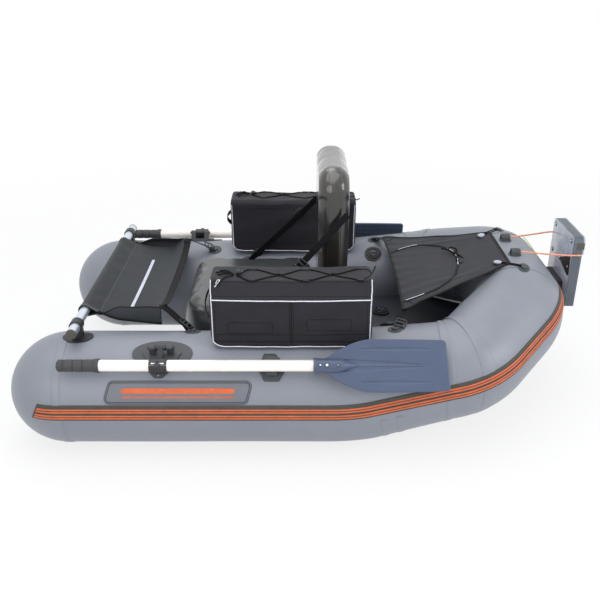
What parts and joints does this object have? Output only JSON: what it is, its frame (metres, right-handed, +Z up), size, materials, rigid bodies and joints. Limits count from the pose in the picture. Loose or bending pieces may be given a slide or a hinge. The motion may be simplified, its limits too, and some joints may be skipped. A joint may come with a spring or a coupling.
{
  "type": "inflatable float tube",
  "caption": "One-person fishing float tube with two pontoons, a raised bow, inflatable seat, gear bags, lap apron, swinging oars and a motor plate.",
  "frame": {"origin": "on the ground under the middle of the boat's box, halfway along it and on its middle plane", "axes": "+X towards the raised closed bow with the motor plate, +Y to port, +Z up"},
  "size_m": [1.905, 1.2184, 0.85],
  "materials": {
    "apron_cloth": "coated weave",
    "back_skin": "semi-gloss coated fabric",
    "bag_cloth": "coated weave",
    "bar_aluminium": "satin anodised",
    "blade_plastic": "moulded, semi-gloss",
    "deck_skin": "coarse coated fabric",
    "fitting_plastic": "moulded",
    "fitting_rubber": "moulded, matt",
    "grip_rubber": "matt moulded",
    "hull_skin": "satin welded PVC fabric",
    "patch_skin": "welded patch",
    "plate_plastic": "moulded, glossy",
    "seat_skin": "glossy coated fabric",
    "shaft_enamel": "white enamel",
    "strake_rubber": "matt ribbed, orange lines",
    "tie_cord": "braided elastic",
    "valve_plastic": "moulded",
    "webbing": "woven strap"
  },
  "bodies": {
    "hull": {"apron": "apron_cloth", "apron_straps": "webbing", "backrest": "back_skin", "backrest_straps": "webbing", "bow_cover": "bag_cloth", "bow_loops": "fitting_rubber", "bow_strake": "strake_rubber", "bow_tube": "hull_skin", "cover_straps": "webbing", "crossbar": "bar_aluminium", "crossbar_brackets": "fitting_plastic", "crossbar_caps": "fitting_plastic", "deck": "deck_skin", "deck_valve": "valve_plastic", "motor_bracket": "fitting_rubber", "motor_plate": "plate_plastic", "oar_clips": "fitting_rubber", "plate_ties": "tie_cord", "pontoon_strakes": "strake_rubber", "port_bag": "bag_cloth", "port_pontoon": "hull_skin", "port_shoulder": "hull_skin", "rowlock_bases": "fitting_rubber", "seat_cushion": "seat_skin", "shoulder_strakes": "strake_rubber", "side_patches": "patch_skin", "starboard_bag": "bag_cloth", "starboard_pontoon": "hull_skin", "starboard_shoulder": "hull_skin"},
    "starboard_fork": {"starboard_rowlock_fork": "fitting_plastic"},
    "starboard_oar": {"starboard_oar_blade": "blade_plastic", "starboard_oar_collar": "fitting_plastic", "starboard_oar_grip": "grip_rubber", "starboard_oar_shaft": "shaft_enamel"},
    "port_fork": {"port_rowlock_fork": "fitting_plastic"},
    "port_oar": {"port_oar_blade": "blade_plastic", "port_oar_collar": "fitting_plastic", "port_oar_grip": "grip_rubber", "port_oar_shaft": "shaft_enamel"}
  },
  "joints": [
    {"name": "starboard_oar_lift", "type": "hinge", "parent": "hull", "child": "starboard_fork", "pos_m": [-0.4445, -0.5015, 0.37222], "axis": [-1, 0, 0], "range_deg": [0, 50]},
    {"name": "starboard_oar_swing", "type": "hinge", "parent": "starboard_fork", "child": "starboard_oar", "pos_m": [-0.4445, -0.56, 0.3436], "axis": [0, 0.8192, -0.5736], "range_deg": [0, 115]},
    {"name": "port_oar_lift", "type": "hinge", "parent": "hull", "child": "port_fork", "pos_m": [-0.4445, 0.5015, 0.37222], "axis": [1, 0, 0], "range_deg": [0, 50]},
    {"name": "port_oar_swing", "type": "hinge", "parent": "port_fork", "child": "port_oar", "pos_m": [-0.4445, 0.56, 0.3436], "axis": [0, 0.8192, 0.5736], "range_deg": [0, 115]}
  ]
}
